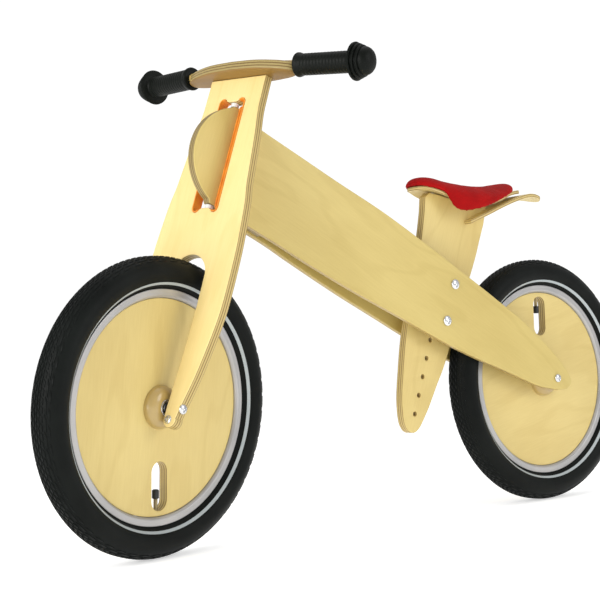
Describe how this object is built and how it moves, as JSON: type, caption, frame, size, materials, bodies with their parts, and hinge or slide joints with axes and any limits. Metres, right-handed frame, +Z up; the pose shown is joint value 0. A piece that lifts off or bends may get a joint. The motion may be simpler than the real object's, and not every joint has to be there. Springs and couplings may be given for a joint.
{
  "type": "balance bike",
  "caption": "Wooden balance bike with plywood fork and frame panels, disc wheels on air tyres, a leather-lined steering slot and a padded red saddle.",
  "frame": {"origin": "middle of the bike's footprint box on the ground, under the frame", "axes": "+Z up, -Y the way the bike rides, +X the rider's left"},
  "size_m": [0.4396, 1.1624, 0.7089],
  "materials": {
    "birch": "satin",
    "pale_birch": "satin",
    "tyre_rubber": "matt",
    "grip_rubber": "matt",
    "tube_rubber": "matt",
    "aluminium": "satin",
    "steel": "satin",
    "brass": "satin",
    "black_plastic": "matt",
    "nylon": "satin",
    "orange_leather": "satin",
    "red_cover": "matt"
  },
  "bodies": {
    "frame": {"frame_panel_left": "birch", "frame_panel_right": "birch", "head_board": "birch", "leather_cuff_left": "orange_leather", "leather_cuff_right": "orange_leather", "upper_bushing": "nylon", "lower_bushing": "nylon", "post_guide_left": "birch", "post_guide_right": "birch", "seat_post": "birch", "seat_board": "birch", "tail_board": "birch", "seat_pad": "red_cover", "seat_screw_front": "steel", "seat_screw_rear": "steel", "seat_bolt_lower": "steel", "seat_bolt_upper": "steel", "seat_nut_lower": "steel", "seat_nut_upper": "steel", "rear_axle": "steel", "rear_axle_nut": "steel", "rear_spacer_left": "black_plastic", "rear_spacer_right": "black_plastic"},
    "fork": {"fork_board": "pale_birch", "slot_liner_left": "orange_leather", "slot_liner_right": "orange_leather", "handlebar": "pale_birch", "bar_screw_left": "steel", "bar_screw_right": "steel", "grip_left": "grip_rubber", "grip_right": "grip_rubber", "upper_pivot_bolt": "steel", "lower_pivot_bolt": "steel", "leg_screw_left": "steel", "leg_screw_right": "steel", "front_axle": "steel", "front_axle_nut": "steel", "front_spacer_left": "black_plastic", "front_spacer_right": "black_plastic"},
    "front_wheel": {"front_tyre": "tyre_rubber", "front_inner_tube": "tube_rubber", "front_rim": "aluminium", "front_disc": "birch", "front_boss_left": "birch", "front_boss_right": "birch", "front_bearing_left": "steel", "front_bearing_right": "steel", "front_valve": "brass", "front_valve_cap": "black_plastic"},
    "rear_wheel": {"rear_tyre": "tyre_rubber", "rear_inner_tube": "tube_rubber", "rear_rim": "aluminium", "rear_disc": "birch", "rear_boss_left": "birch", "rear_boss_right": "birch", "rear_bearing_left": "steel", "rear_bearing_right": "steel", "rear_valve": "brass", "rear_valve_cap": "black_plastic"}
  },
  "joints": [
    {"name": "steering", "type": "hinge", "parent": "frame", "child": "fork", "pos_m": [0.00236, -0.3814, 0.20179], "axis": [0, 0.3405, 0.9402], "range_deg": [-52.9, 27.1]},
    {"name": "front_wheel_spin", "type": "hinge", "parent": "fork", "child": "front_wheel", "pos_m": [0.00281, -0.38323, 0.20245], "axis": [0.9746, 0.2105, -0.0763], "continuous": true},
    {"name": "rear_wheel_spin", "type": "hinge", "parent": "frame", "child": "rear_wheel", "pos_m": [0.00236, 0.37872, 0.20247], "axis": [1, 0, 0], "continuous": true}
  ]
}
